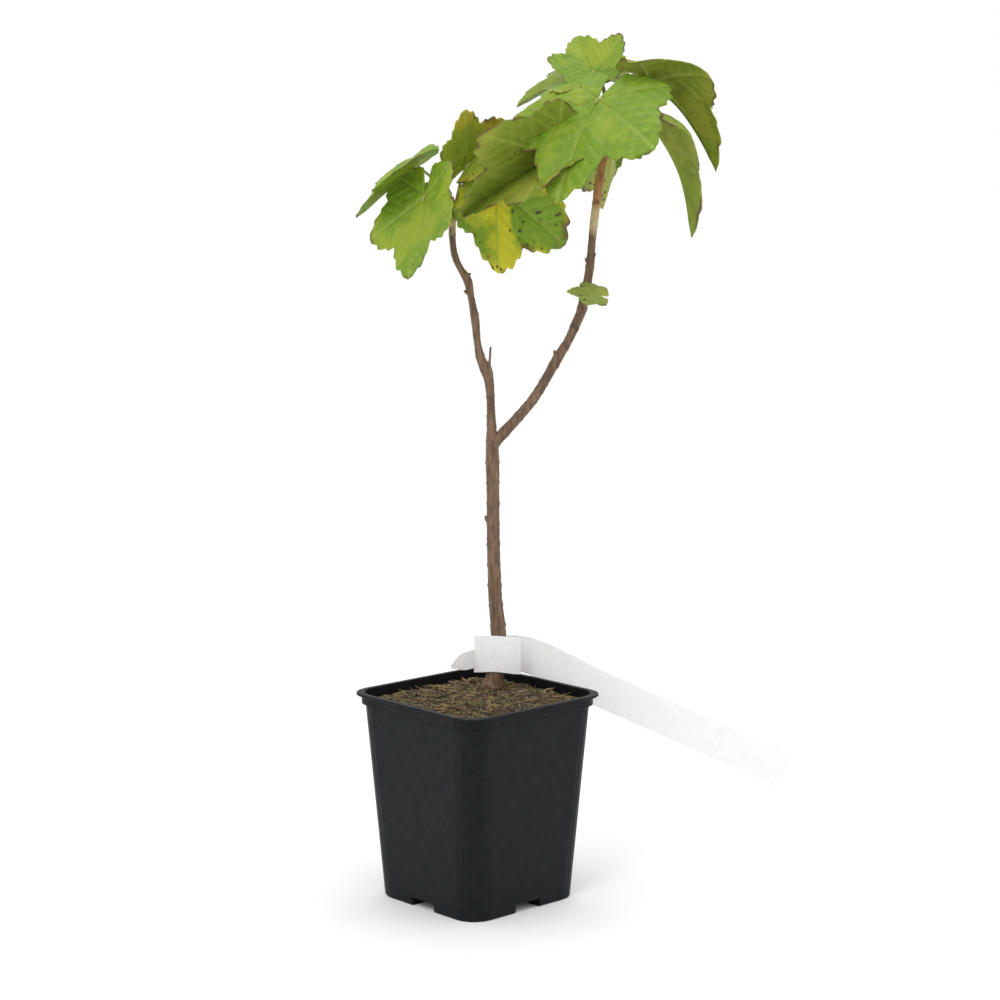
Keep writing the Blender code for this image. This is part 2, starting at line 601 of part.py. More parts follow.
def main():
    clear_scene()
    plastic = material("pot_plastic", (0.022, 0.023, 0.026), 0.45)
    bark = material("bark", (0.19, 0.115, 0.06), 0.75)
    soil = material("compost_fibre", (0.07, 0.05, 0.03), 0.95)
    green = material("leaf_green", (0.24, 0.36, 0.06), 0.55)
    white = material("label_white", (0.88, 0.88, 0.88), 0.4)
    home = collection("potted_blackcurrant")
    cutters = collection("cutters")

    parts = [(make_pot(home, cutters), plastic, True), (make_compost(home), soil, False), (make_trunk(home), bark, True)]
    parts.append((make_bough("bough_left_lower", FORK, LEFT_LOWER, LEFT_BEND, (0.0023, 0.0023), (), home), bark, True))
    parts.append((make_bough("bough_left_upper", LEFT_BEND, LEFT_UPPER, LEFT_TIP, (0.0024, 0.0017), LEFT_BUDS, home,
                             (SNAG,)), bark, True))
    parts.append((make_bough("bough_right_lower", CROTCH, RIGHT_LOWER, RIGHT_BEND, (0.0027, 0.0023),
                             RIGHT_LOWER_BUDS, home), bark, True))
    parts.append((make_bough("bough_right_upper", RIGHT_BEND, RIGHT_UPPER, RIGHT_TIP, (0.0023, 0.0021),
                             RIGHT_UPPER_BUDS, home), bark, True))
    parts.append((make_mass("foliage_left", LEFT_TIP, 0.0017, LEFT_STEM, LEFT_LEAVES, home), green, True))
    parts.append((make_mass("foliage_right", RIGHT_TIP, 0.0020, RIGHT_STEM, RIGHT_LEAVES, home), green, True))
    parts.append((make_mass("foliage_bud_leaf", BUD_NODE, 0.0011, BUD_STEM, BUD_LEAVES, home), green, True))
    parts.append((make_label(home), white, False))

    carrier = bpy.data.objects.new("potted_blackcurrant_base", None)
    home.objects.link(carrier)
    for obj, look, smooth in parts:
        finish(obj, look, smooth, carrier)
    for cutter in cutters.objects:
        cutter.parent = carrier
    centre(carrier, [obj for obj, _, _ in parts])


if __name__ == "__main__":
    main()
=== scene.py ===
"""Looks of a young blackcurrant bush in a square nursery pot: leaves, bark, compost, label and studio."""
import math
import random
from collections import namedtuple

import bpy
from mathutils import Matrix, Vector, noise


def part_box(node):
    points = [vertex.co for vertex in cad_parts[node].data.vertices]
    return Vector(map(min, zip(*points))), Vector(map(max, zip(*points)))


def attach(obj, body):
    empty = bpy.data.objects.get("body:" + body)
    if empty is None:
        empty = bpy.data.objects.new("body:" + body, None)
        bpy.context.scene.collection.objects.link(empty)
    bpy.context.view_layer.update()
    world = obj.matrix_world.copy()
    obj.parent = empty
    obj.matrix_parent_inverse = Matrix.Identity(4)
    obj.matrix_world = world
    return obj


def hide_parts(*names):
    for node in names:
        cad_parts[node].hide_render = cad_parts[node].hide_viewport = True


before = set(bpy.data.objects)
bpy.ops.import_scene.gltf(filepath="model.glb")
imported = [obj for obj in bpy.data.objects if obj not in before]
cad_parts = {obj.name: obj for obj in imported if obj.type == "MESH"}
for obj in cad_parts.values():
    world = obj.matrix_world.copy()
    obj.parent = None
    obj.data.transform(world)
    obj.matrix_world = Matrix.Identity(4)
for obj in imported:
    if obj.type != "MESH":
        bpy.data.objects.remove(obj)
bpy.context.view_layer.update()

# The plant is laid out round the pot's axis, as in its solids
POT_LOW, POT_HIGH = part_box("pot")
AXIS = Vector(((POT_LOW[0] + POT_HIGH[0]) / 2, (POT_LOW[1] + POT_HIGH[1]) / 2, 0))
RIM = POT_HIGH[2]

# The blade's outline: angles in degrees from the middle rib, reaches as shares of the leaf's length
LOBE_ANGLES = (-118, -58, 0, 58, 118)
LOBE_REACH = (0.62, 0.88, 1.0, 0.88, 0.62)
SINUS_ANGLES = (-88, -30, 30, 88)
SINUS_REACH = (0.58, 0.68, 0.68, 0.58)
END_ANGLE, END_REACH = 168, 0.34
EDGE_BULGE = 0.10
TOOTH, TEETH, TOOTH_LEAN, TOOTH_MIDDLE = 0.055, 3, 1.6, 0.6
EDGE_STEPS, BLADE_RINGS = 16, 22
BLADE_THICK = 0.0004

# Ribs and side veins as shares of the leaf's length, and how deep they sink in a leaf of a given length
RIB_HALF = 0.013
SIDE_VEINS, SIDE_SLANT, SIDE_HALF, SIDE_DEPTH = 8, 0.85, 0.13, 0.55
VEIN_DEPTH, DEPTH_LENGTH = 0.0011, 0.05
WAVE_HEIGHT = 0.03
NEARLY_STRAIGHT = 1e-5

PETIOLE_RADIUS, PETIOLE_SUNK, PETIOLE_ARCH = 0.0007, 0.0034, 0.16
PETIOLE_SPACING, PETIOLE_SIDES = 0.002, 8

# A leaf: its look, where its stalk starts and ends, three turns in degrees, length, fold on the middle rib
# in degrees, and how far each lobe lifts and curls, in degrees
Leaf = namedtuple("Leaf", "look root at heading pitch roll length fold lifts curls")


def even(value):
    """The same lift or curl for all five lobes."""
    return (value,) * 5


LEFT_LEAVES = (
    Leaf("yellowing", (-0.0110, 0.0155, 0.3330), (-0.0050, 0.0180, 0.3560), 36, 45, 50, 0.032, 55,
         even(0), even(0)),
    Leaf("fresh", (-0.0125, 0.0150, 0.3340), (-0.0285, 0.0080, 0.3560), 178, -34, -4, 0.038, 15,
         even(0), even(10)),
    Leaf("fresh", (-0.0125, 0.0140, 0.3300), (-0.0245, -0.0080, 0.3430), -116, -70, 26, 0.042, 7,
         even(0), even(-5)),
    Leaf("spotted", (-0.0100, 0.0155, 0.3305), (0.0092, 0.0240, 0.3465), 27, -37, 92, 0.048, 15,
         even(0), even(0)),
    Leaf("fresh", (-0.0120, 0.0165, 0.3320), (-0.0310, 0.0350, 0.3410), 135, -62, 0, 0.024, 5,
         even(0), even(20)),
)
RIGHT_LEAVES = (
    Leaf("fresh", (0.0636, 0.0176, 0.3810), (0.0566, 0.0200, 0.4000), 114, 39, -24, 0.027, 18,
         even(0), even(-8)),
    Leaf("dull", (0.0636, 0.0178, 0.3790), (0.0590, 0.0300, 0.3985), 179, -2, -12, 0.043, 18,
         even(0), even(35)),
    Leaf("fresh", (0.0615, 0.0165, 0.3660), (0.0572, -0.0100, 0.3878), -127, -43, -5, 0.058, 9,
         even(0), (50, 26, 26, 26, 50)),
    Leaf("dull", (0.0638, 0.0172, 0.3780), (0.0820, 0.0050, 0.3965), -5, -34, -4, 0.054, 48,
         (-10, 0, 0, 0, -10), (70, 38, 38, 38, 70)),
    Leaf("dull", (0.0620, 0.0170, 0.3700), (0.0795, -0.0050, 0.3803), -4, -46, 0, 0.063, 38,
         (-30, 0, 0, 0, -30), (70, 50, 45, 50, 70)),
    Leaf("fresh", (0.0636, 0.0185, 0.3760), (0.0600, 0.0450, 0.3780), 85, -60, 0, 0.034, 5,
         even(0), even(20)),
    Leaf("dull", (0.0606, 0.0165, 0.3625), (0.0375, -0.0010, 0.3625), 180, -33, -75, 0.054, 62,
         even(0), even(5)),
    Leaf("pale", (0.0614, 0.0185, 0.3625), (0.0650, 0.0350, 0.3610), 108, -76, -42, 0.027, 15,
         even(0), even(-8)),
    Leaf("fresh", (0.0612, 0.0187, 0.3640), (0.0420, 0.0520, 0.3660), 110, -52, 0, 0.031, 5,
         even(0), even(20)),
)
BUD_LEAVES = (
    Leaf("pale", (0.0525, 0.0100, 0.2920), (0.0578, 0.0010, 0.2955), 182, 13, -26, 0.015, 5,
         even(0), even(15)),
)

# Limbs as (x, y, z, radius) from end to end
TRUNK = (
    (0.0066, 0.0150, 0.0998, 0.0052), (0.0067, 0.0150, 0.1010, 0.0050), (0.0084, 0.0150, 0.1060, 0.0045),
    (0.0102, 0.0150, 0.1150, 0.0041), (0.0103, 0.0150, 0.1290, 0.0038), (0.0088, 0.0150, 0.1460, 0.0034),
    (0.0079, 0.0150, 0.1700, 0.0032), (0.0077, 0.0150, 0.1950, 0.0031), (0.0074, 0.0150, 0.2150, 0.0033),
    (0.0072, 0.0150, 0.2230, 0.0029), (0.0070, 0.0150, 0.2300, 0.0024),
)
LEFT = (
    (0.0072, 0.0150, 0.2230, 0.0027), (0.0070, 0.0150, 0.2300, 0.0024), (0.0067, 0.0150, 0.2370, 0.0021),
    (0.0065, 0.0150, 0.2450, 0.0020), (0.0056, 0.0150, 0.2540, 0.0024), (0.0042, 0.0150, 0.2588, 0.0029),
    (0.0016, 0.0150, 0.2645, 0.0022), (0.0000, 0.0151, 0.2730, 0.0017), (-0.0010, 0.0152, 0.2832, 0.0021),
    (-0.0028, 0.0152, 0.2930, 0.0016), (-0.0045, 0.0152, 0.3016, 0.0021), (-0.0080, 0.0152, 0.3074, 0.0016),
    (-0.0105, 0.0151, 0.3130, 0.0016), (-0.0117, 0.0150, 0.3200, 0.0016), (-0.0119, 0.0150, 0.3268, 0.0017),
    (-0.0118, 0.0150, 0.3310, 0.0017), (-0.0117, 0.0150, 0.3345, 0.0012), (-0.0115, 0.0150, 0.3385, 0.0012),
    (-0.0116, 0.0150, 0.3420, 0.0004),
)
RIGHT = (
    (0.0074, 0.0150, 0.2175, 0.0020), (0.0086, 0.0150, 0.2225, 0.0027), (0.0136, 0.0150, 0.2284, 0.0027),
    (0.0192, 0.0150, 0.2345, 0.0025), (0.0272, 0.0150, 0.2440, 0.0024), (0.0333, 0.0151, 0.2538, 0.0023),
    (0.0388, 0.0152, 0.2636, 0.0025), (0.0444, 0.0155, 0.2730, 0.0021), (0.0478, 0.0157, 0.2805, 0.0023),
    (0.0508, 0.0160, 0.2880, 0.0024), (0.0532, 0.0162, 0.3000, 0.0021), (0.0546, 0.0164, 0.3090, 0.0021),
    (0.0554, 0.0166, 0.3190, 0.0018), (0.0566, 0.0168, 0.3310, 0.0020), (0.0588, 0.0170, 0.3480, 0.0021),
    (0.0606, 0.0172, 0.3592, 0.0020), (0.0620, 0.0174, 0.3680, 0.0019), (0.0634, 0.0176, 0.3790, 0.0014),
    (0.0638, 0.0177, 0.3840, 0.0005),
)
SNAG = (
    (0.0056, 0.0150, 0.2570, 0.0010), (0.0062, 0.0150, 0.2640, 0.0006), (0.0065, 0.0150, 0.2695, 0.0005),
)
BUD_STEM = (
    (0.0521, 0.0150, 0.2890, 0.0011), (0.0523, 0.0107, 0.2912, 0.0011), (0.0525, 0.0097, 0.2922, 0.0010),
)

# Buds as place, direction, length and half width
BUDS = (
    ((0.0048, 0.0146, 0.1850), (-0.5, -0.1, 1), 0.0042, 0.0012),
    ((-0.0022, 0.0144, 0.2915), (0.9, -0.2, 1), 0.0036, 0.0011),
    ((-0.0048, 0.0150, 0.2960), (-1, -0.1, 0.5), 0.0034, 0.0011),
    ((-0.0044, 0.0150, 0.3040), (0.9, -0.1, 0.8), 0.0036, 0.0010),
    ((0.0382, 0.0150, 0.2660), (-0.5, -0.2, 1), 0.0042, 0.0012),
    ((0.0562, 0.0160, 0.3135), (0.9, -0.1, 1), 0.0032, 0.0010),
    ((0.0532, 0.0163, 0.3110), (-0.8, -0.1, 1), 0.0032, 0.0010),
)
# A bud's half width along it, as (share of its length, share of its half width)
BUD_SHAPE = ((0.0, 0.5), (0.25, 0.9), (0.5, 1.0), (0.75, 0.7), (1.0, 0.12))
BUD_SUNK, BUD_SPACING = 0.45, 0.0004

BARK_SPACING, LIMB_SIDES, TWIG_SIDES, SNAG_SIDES = 0.0009, 22, 12, 10
SCAR_WAVES, SCAR_SHARPNESS = 620, 12
FINE_BUMPS, BROAD_BUMPS = 900, 300

LABEL_WIDTH, LABEL_THICK = 0.0180, 0.0005
LABEL_PATH = ((0.1560, 0.0460, 0.0505), (0.1200, 0.0450, 0.0672), (0.0900, 0.0440, 0.0810),
              (0.0620, 0.0425, 0.0940), (0.0420, 0.0405, 0.1044), (0.0290, 0.0378, 0.1110),
              (0.0190, 0.0345, 0.1142), (0.0080, 0.0318, 0.1140), (0.0000, 0.0270, 0.1150),
              (-0.0012, 0.0190, 0.1170), (0.0030, 0.0115, 0.1186), (0.0105, 0.0100, 0.1188),
              (0.0185, 0.0120, 0.1175), (0.0210, 0.0190, 0.1160), (0.0175, 0.0265, 0.1150))
TAIL_PATH = (
    (0.0120, 0.0290, 0.1150), (0.0040, 0.0250, 0.1145), (-0.0060, 0.0205, 0.1130),
    (-0.0130, 0.0180, 0.1105),
)
TAIL_WIDTHS = (0.0100, 0.0100, 0.0090, 0.0020)
LABEL_SPACING = 0.0015

FIBRES, CRUMBS = 1700, 1300
CRUMB_SIZES, CRUMB_SIDES = (0.0004, 0.0013), 6
FIBRE_LENGTHS, FIBRE_RADII, FIBRE_SIDES = (0.003, 0.0095), (0.00014, 0.00052), 4
FIBRE_RISES, FIBRE_BENDS = (-0.12, 0.30), (-0.2, 0.2)
COMPOST_DROP, CAST_ABOVE = 0.012, 0.02
DOWN = Vector((0, 0, -1))
DRAW = random.Random(7)

FLOOR_FRONT, FLOOR_BACK, FLOOR_HALF = -5.0, 1.7, 7.0
CURVE_RADIUS, CURVE_STEPS, WALL_TOP = 1.0, 12, 5.0
# Lights as name, place, watts and size
LIGHTS = (("key", (-0.7, -1.3, 1.5), 7, 0.6), ("fill", (1.2, -0.9, 0.9), 1.0, 0.9),
          ("top", (0.1, 0.3, 1.7), 4, 0.8))
LIGHTS_AIM = Vector((0, 0, 0.2))
CAMERA_PLACE, CAMERA_TILT, LENS, SENSOR = (0.0111, -1.195, 0.370), 8.25, 90, 36


class Build:
    """Gathers points, faces, a look for each face and two values for each point, then makes one object."""

    def __init__(self):
        self.points, self.faces, self.looks, self.vein, self.edge = [], [], [], [], []

    def add(self, points, faces, look=0, vein=None, edge=None):
        start = len(self.points)
        self.points += [AXIS + Vector(p) for p in points]
        self.faces += [tuple(i + start for i in face) for face in faces]
        self.looks += [look] * len(faces)
        self.vein += vein or [0.0] * len(points)
        self.edge += edge or [0.0] * len(points)

    def make(self, name, looks, nodes=(), thick=0.0):
        mesh = bpy.data.meshes.new(name)
        mesh.from_pydata([tuple(p) for p in self.points], [], self.faces)
        for look in looks:
            mesh.materials.append(look)
        mesh.polygons.foreach_set("material_index", self.looks)
        for key, values in (("vein", self.vein), ("edge", self.edge)):
            mesh.attributes.new(key, "FLOAT", "POINT").data.foreach_set("value", values)
        mesh.shade_smooth()
        mesh.update()
        made = bpy.data.objects.new(name, mesh)
        bpy.context.scene.collection.objects.link(made)
        if thick:
            shell = made.modifiers.new("thickness", "SOLIDIFY")
            shell.thickness, shell.offset = thick, 0
        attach(made, "root")
        if nodes:
            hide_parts(*nodes)
        return made


def smooth_path(points, spacing):
    """Places and radii along a smooth curve through the points, about spacing apart."""
    points = [(Vector(place), radius) for place, radius in points]
    padded = [points[0], *points, points[-1]]
    found = []
    for (p0, _), (p1, r1), (p2, r2), (p3, _) in zip(padded, padded[1:], padded[2:], padded[3:]):
        steps = max(1, round((p2 - p1).length / spacing))
        for step in range(steps):
            t = step / steps
            place = 0.5 * (2 * p1 + (p2 - p0) * t + (2 * p0 - 5 * p1 + 4 * p2 - p3) * t ** 2
                           + (3 * p1 - p0 - 3 * p2 + p3) * t ** 3)
            found.append((place, r1 + (r2 - r1) * t * t * (3 - 2 * t)))
    found.append(points[-1])
    return found


def limb_path(limb):
    return smooth_path([(row[:3], row[3]) for row in limb], BARK_SPACING)


def sweep(build, path, sides, look=0, rough=0.0, scars=0.0):
    """A round skin along places and radii, closed at both ends, with rough bark and ring scars if asked."""
    points, faces = [], []
    side = (path[1][0] - path[0][0]).orthogonal().normalized()
    travelled = 0.0
    for i, (place, radius) in enumerate(path):
        ahead = path[min(i + 1, len(path) - 1)][0] - path[max(i - 1, 0)][0]
        way = ahead.normalized()
        side = (side - way * side.dot(way)).normalized()
        other = way.cross(side)
        travelled += (place - path[max(i - 1, 0)][0]).length
        swell = 1 + scars * max(0.0, math.sin(travelled * SCAR_WAVES)) ** SCAR_SHARPNESS
        for k in range(sides):
            angle = 2 * math.pi * k / sides
            out = side * math.cos(angle) + other * math.sin(angle)
            fine = noise.noise((place + out * radius) * FINE_BUMPS)
            bump = fine + 0.5 * noise.noise(out * 3 + place * BROAD_BUMPS)
            points.append(place + out * radius * (swell + rough * bump))
    for i in range(len(path) - 1):
        for k in range(sides):
            a, b = i * sides + k, i * sides + (k + 1) % sides
            faces.append((a, b, b + sides, a + sides))
    faces.append(tuple(reversed(range(sides))))
    faces.append(tuple(range(len(points) - sides, len(points))))
    build.add(points, faces, look)


def straight_reach(angle0, reach0, angle1, reach1, angle):
    """How far the straight line between two corners of the outline lies out at an angle between them."""
    over = reach0 * math.sin(angle - angle0) + reach1 * math.sin(angle1 - angle)
    return reach0 * reach1 * math.sin(angle1 - angle0) / over


def blade_outline():
    """(angle, reach) round the blade's toothed margin, from one side of the stalk notch to the other."""
    corners = [(-END_ANGLE, END_REACH)]
    for i in range(5):
        corners.append((LOBE_ANGLES[i], LOBE_REACH[i]))
        if i < 4:
            corners.append((SINUS_ANGLES[i], SINUS_REACH[i]))
    corners.append((END_ANGLE, END_REACH))
    found = []
    for k in range(len(corners) - 1):
        angle0, angle1 = math.radians(corners[k][0]), math.radians(corners[k + 1][0])
        rising = corners[k + 1][1] > corners[k][1]
        for j in range(EDGE_STEPS + (k == len(corners) - 2)):
            t = j / EDGE_STEPS
            angle = angle0 + (angle1 - angle0) * t
            reach = straight_reach(angle0, corners[k][1], angle1, corners[k + 1][1], angle)
            reach *= 1 + EDGE_BULGE * math.sin(math.pi * t)
            saw = (t * TEETH) % 1.0 if rising else 1 - (t * TEETH) % 1.0
            fade = math.sin(math.pi * min(1, 4 * t, 4 * (1 - t)) / 2)
            reach *= 1 + TOOTH * (math.sin(math.pi * saw ** TOOTH_LEAN) - TOOTH_MIDDLE) * fade
            found.append((angle, reach))
    return found


def at_angle(values, angle):
    """A value given for each lobe, blended smoothly between the two lobes beside the angle."""
    angle = math.degrees(angle)
    if angle <= LOBE_ANGLES[0]:
        return values[0]
    for i in range(4):
        if angle <= LOBE_ANGLES[i + 1]:
            t = (angle - LOBE_ANGLES[i]) / (LOBE_ANGLES[i + 1] - LOBE_ANGLES[i])
            t = t * t * (3 - 2 * t)
            return values[i] * (1 - t) + values[i + 1] * t
    return values[4]


def vein_at(angle, distance, length):
    """1 on a rib or side vein and 0 between them, at a point of the blade."""
    near = min((angle - math.radians(rib) for rib in LOBE_ANGLES), key=abs)
    along, aside = distance * math.cos(near) / length, abs(distance * math.sin(near)) / length
    rib = math.exp(-(aside / RIB_HALF) ** 2)
    phase = (along - SIDE_SLANT * aside) * SIDE_VEINS
    side = math.exp(-((phase - round(phase)) / SIDE_HALF) ** 2) * min(1, along * 5)
    return max(rib, SIDE_DEPTH * side * (1 - rib))


def blade_point(leaf, angle, distance):
    """A point of the blade in the leaf's own frame, lifted and curled along its lobe, folded on its rib."""
    rise = math.radians(at_angle(leaf.lifts, angle))
    fall = rise - math.radians(at_angle(leaf.curls, angle)) * distance / leaf.length
    if abs(rise - fall) < NEARLY_STRAIGHT:
        out, up = distance * math.cos(rise), distance * math.sin(rise)
    else:
        out = distance * (math.sin(rise) - math.sin(fall)) / (rise - fall)
        up = distance * (math.cos(fall) - math.cos(rise)) / (rise - fall)
    fold = math.radians(leaf.fold)
    side = out * math.sin(angle)
    return Vector((out * math.cos(angle), side * math.cos(fold), up + abs(side) * math.sin(fold)))


def blade_frame(leaf):
    """The leaf's place and turn: X along its middle rib, Z out of its upper face."""
    heading, pitch, roll = (math.radians(v) for v in (leaf.heading, leaf.pitch, leaf.roll))
    level = math.cos(pitch)
    along = Vector((level * math.cos(heading), level * math.sin(heading), math.sin(pitch)))
    left = Vector((-math.sin(heading), math.cos(heading), 0))
    up = along.cross(left)
    left, up = left * math.cos(roll) + up * math.sin(roll), up * math.cos(roll) - left * math.sin(roll)
    return Matrix.Translation(Vector(leaf.at)) @ Matrix((along, left, up)).transposed().to_4x4()


def add_leaf(build, stalks, leaf, look):
    """One blade as rings of points from the stalk's end out to the margin, and its stalk."""
    margin = blade_outline()
    turn = blade_frame(leaf)
    points, vein, edge = [turn @ Vector((0, 0, 0))], [1.0], [0.0]
    for angle, reach in margin:
        for ring in range(1, BLADE_RINGS + 1):
            share = ring / BLADE_RINGS
            distance = share * reach * leaf.length
            depth = vein_at(angle, distance, leaf.length)
            place = blade_point(leaf, angle, distance)
            ripple = noise.noise(Vector((angle * 2.2, share * 2, leaf.heading)))
            wave = ripple * WAVE_HEIGHT * leaf.length * share
            shallower = min(1, 6 * (1 - share) + 0.2)
            place.z += wave - VEIN_DEPTH * depth * shallower * leaf.length / DEPTH_LENGTH
            points.append(turn @ place)
            vein.append(depth)
            edge.append(share)
    faces = []
    for i in range(len(margin) - 1):
        a, b = 1 + i * BLADE_RINGS, 1 + (i + 1) * BLADE_RINGS
        faces.append((0, a, b))
        for j in range(BLADE_RINGS - 1):
            faces.append((a + j, a + j + 1, b + j + 1, b + j))
    build.add(points, faces, look, vein, edge)
    root, at = Vector(leaf.root), Vector(leaf.at)
    into = at + turn.to_3x3() @ Vector((PETIOLE_SUNK, 0, 0))
    middle = (root + at) / 2 + Vector((0, 0, (at - root).length * PETIOLE_ARCH))
    stalk = [(root, PETIOLE_RADIUS * 1.6), (middle, PETIOLE_RADIUS),
             (at, PETIOLE_RADIUS), (into, PETIOLE_RADIUS * 0.6)]
    sweep(stalks, smooth_path(stalk, PETIOLE_SPACING), PETIOLE_SIDES)


def add_band(build, path, widths):
    """A flat band on its edge along the path, with its thickness."""
    dense = smooth_path(list(zip(path, widths)), LABEL_SPACING)
    points = []
    for i, (place, width) in enumerate(dense):
        along = (dense[min(i + 1, len(dense) - 1)][0] - dense[max(i - 1, 0)][0]).normalized()
        across = (Vector((0, 0, 1)) - along * along.z).normalized()
        out = along.cross(across) * LABEL_THICK / 2
        points += [place - across * width / 2 - out, place + across * width / 2 - out,
                   place + across * width / 2 + out, place - across * width / 2 + out]
    faces = [(0, 1, 2, 3), tuple(len(points) - k for k in (1, 2, 3, 4))]
    for i in range(len(dense) - 1):
        for k in range(4):
            faces.append((4 * i + k, 4 * i + 4 + k, 4 * i + 4 + (k + 1) % 4, 4 * i + (k + 1) % 4))
    build.add(points, faces)


class Look:
    """A Principled material with a few helpers for its nodes."""

    def __init__(self, name, roughness, specular=0.5):
        self.material = bpy.data.materials.new(name)
        self.material.use_nodes = True
        self.nodes, self.links = self.material.node_tree.nodes, self.material.node_tree.links
        self.shader = self.nodes["Principled BSDF"]
        self.shader.inputs["Roughness"].default_value = roughness
        self.shader.inputs["Specular IOR Level"].default_value = specular
        self.place = self.nodes.new("ShaderNodeTexCoord").outputs["Object"]

    def noise(self, scale, detail, stretch=None):
        made = self.nodes.new("ShaderNodeTexNoise")
        made.inputs["Scale"].default_value = scale
        made.inputs["Detail"].default_value = detail
        source = self.place
        if stretch:
            mapping = self.nodes.new("ShaderNodeMapping")
            mapping.inputs["Scale"].default_value = stretch
            self.links.new(self.place, mapping.inputs["Vector"])
            source = mapping.outputs["Vector"]
        self.links.new(source, made.inputs["Vector"])
        return made.outputs["Fac"]

    def cells(self, scale):
        made = self.nodes.new("ShaderNodeTexVoronoi")
        made.inputs["Scale"].default_value = scale
        self.links.new(self.place, made.inputs["Vector"])
        return made.outputs["Distance"]

    def attribute(self, name):
        made = self.nodes.new("ShaderNodeAttribute")
        made.attribute_name = name
        return made.outputs["Fac"]

    def ramp(self, value, low, high):
        """0 where the value is low and 1 where it is high, clamped."""
        made = self.nodes.new("ShaderNodeMapRange")
        made.inputs["From Min"].default_value, made.inputs["From Max"].default_value = low, high
        self.links.new(value, made.inputs["Value"])
        return made.outputs["Result"]

    def maths(self, kind, a, b):
        made = self.nodes.new("ShaderNodeMath")
        made.operation = kind
        for socket, value in zip(made.inputs, (a, b)):
            if isinstance(value, (int, float)):
                socket.default_value = value
            else:
                self.links.new(value, socket)
        return made.outputs[0]

    def mix(self, share, first, second):
        made = self.nodes.new("ShaderNodeMix")
        made.data_type = "RGBA"
        self.links.new(share, made.inputs["Factor"])
        for socket, value in ((made.inputs[6], first), (made.inputs[7], second)):
            if isinstance(value, tuple):
                socket.default_value = (*value, 1)
            else:
                self.links.new(value, socket)
        return made.outputs[2]

    def done(self, colour, bump, height=0.0004, strength=0.5):
        self.links.new(colour, self.shader.inputs["Base Color"])
        node = self.nodes.new("ShaderNodeBump")
        node.inputs["Strength"].default_value = strength
        node.inputs["Distance"].default_value = height
        self.links.new(bump, node.inputs["Height"])
        self.links.new(node.outputs["Normal"], self.shader.inputs["Normal"])
        return self.material


VEIN_GREEN, SPOT_BROWN, MARGIN_BROWN = (0.36, 0.46, 0.08), (0.035, 0.018, 0.010), (0.11, 0.045, 0.02)
# Scales of the patterns, in waves or cells for each metre
PATCH_WAVES, MOTTLE_WAVES, LEAF_GRAIN = 38, 260, 420
SPOT_CELLS, SPOTTED_AREAS, WORN_AREAS = 300, 55, 70
STREAK_WAVES, STREAK_STRETCH, DARK_AREAS, BAND_WAVES = 700, (1.0, 1.0, 0.16), 160, 120
# Heights between which the bark turns cream, and then red-brown
CREAM_BAND, RED_BAND = (0.326, 0.331), (0.338, 0.343)


def leaf_look(name, green, second, share, spots, margin):
    """Green lamina, paler veins, patches of a second tint, dark spots and a browned margin."""
    look = Look(name, 0.55, 0.3)
    middle = 0.5 + (0.5 - share) * 0.4
    patches = look.ramp(look.noise(PATCH_WAVES, 3), middle - 0.05, middle + 0.06)
    shade = tuple(c * 0.78 for c in green)
    colour = look.mix(look.ramp(look.noise(MOTTLE_WAVES, 5), 0.35, 0.7), green, shade)
    colour = look.mix(patches, colour, second)
    colour = look.mix(look.maths("MULTIPLY", look.attribute("vein"), 0.65), colour, VEIN_GREEN)
    blots = look.ramp(look.cells(SPOT_CELLS), spots, spots * 0.45)
    where = look.ramp(look.noise(SPOTTED_AREAS, 2), 0.47, 0.56)
    colour = look.mix(look.maths("MULTIPLY", blots, where), colour, SPOT_BROWN)
    rim = look.ramp(look.attribute("edge"), 1 - margin, 1.0)
    worn = look.maths("MULTIPLY", rim, look.ramp(look.noise(WORN_AREAS, 3), 0.50, 0.60))
    colour = look.mix(worn, colour, MARGIN_BROWN)
    return look.done(colour, look.noise(LEAF_GRAIN, 4), 0.0005, 0.8)


# Green, second tint, the second tint's share, size of the spots and depth of the browned margin
LEAF_LOOKS = {
    "fresh": leaf_look("leaf_fresh", (0.165, 0.285, 0.014), (0.250, 0.335, 0.020), 0.35, 0.10, 0.05),
    "dull": leaf_look("leaf_dull", (0.200, 0.270, 0.024), (0.280, 0.310, 0.040), 0.45, 0.16, 0.06),
    "spotted": leaf_look("leaf_spotted", (0.190, 0.330, 0.014), (0.56, 0.53, 0.014), 0.52, 0.34, 0.12),
    "yellowing": leaf_look("leaf_yellowing", (0.260, 0.330, 0.024), (0.42, 0.36, 0.026), 0.45, 0.24, 0.16),
    "pale": leaf_look("leaf_pale", (0.30, 0.37, 0.080), (0.38, 0.40, 0.080), 0.50, 0.32, 0.10),
}
LOOK_ORDER = list(LEAF_LOOKS)


